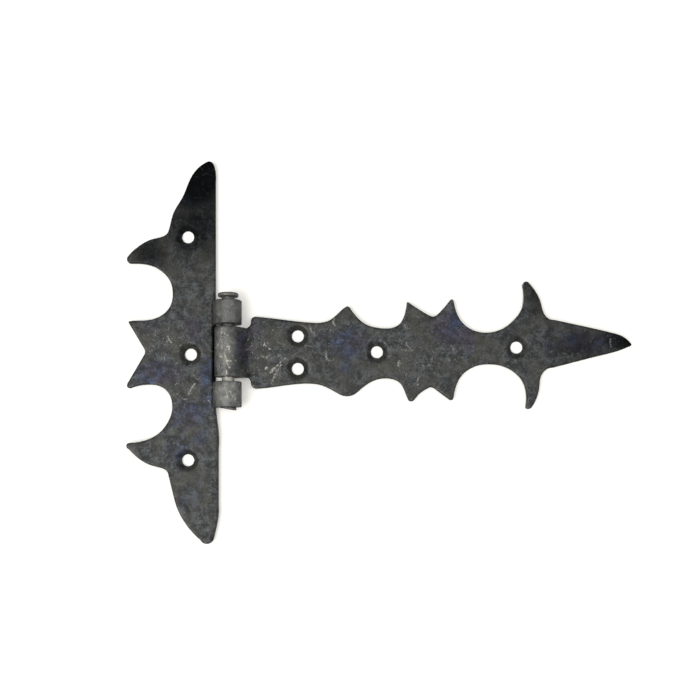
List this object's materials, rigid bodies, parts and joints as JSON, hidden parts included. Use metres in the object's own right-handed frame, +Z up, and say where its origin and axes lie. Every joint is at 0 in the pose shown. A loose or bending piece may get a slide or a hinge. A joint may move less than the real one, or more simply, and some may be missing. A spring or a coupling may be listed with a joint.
{
  "type": "door hinge",
  "caption": "Forged black T-hinge: thorned frame leaf, long spear-pointed strap leaf and a loose riveted pin through rolled knuckles.",
  "frame": {"origin": "on the pin's axis, level with the frame leaf's middle screw", "axes": "+Z up along the pin towards its head, +X along the strap to its tip, -Y towards the viewer; the flat backs of both leaves face +Y"},
  "size_m": [0.2102, 0.0112, 0.1592],
  "materials": {
    "black_forged_steel": "hammered, blackened in oil, worn at the barrel",
    "dark_pin_steel": "dark drawn steel, bare where it rubs"
  },
  "bodies": {
    "frame": {"frame_leaf": "black_forged_steel"},
    "strap": {"strap_leaf": "black_forged_steel"},
    "pin": {"hinge_pin": "dark_pin_steel"}
  },
  "joints": [
    {"name": "strap_swing", "type": "hinge", "parent": "frame", "child": "strap", "pos_m": [0, 0, 0], "axis": [0, 0, -1], "range_deg": [0, 180]},
    {"name": "pin_spin", "type": "hinge", "parent": "frame", "child": "pin", "pos_m": [0, 0, 0], "axis": [0, 0, 1], "continuous": true}
  ]
}
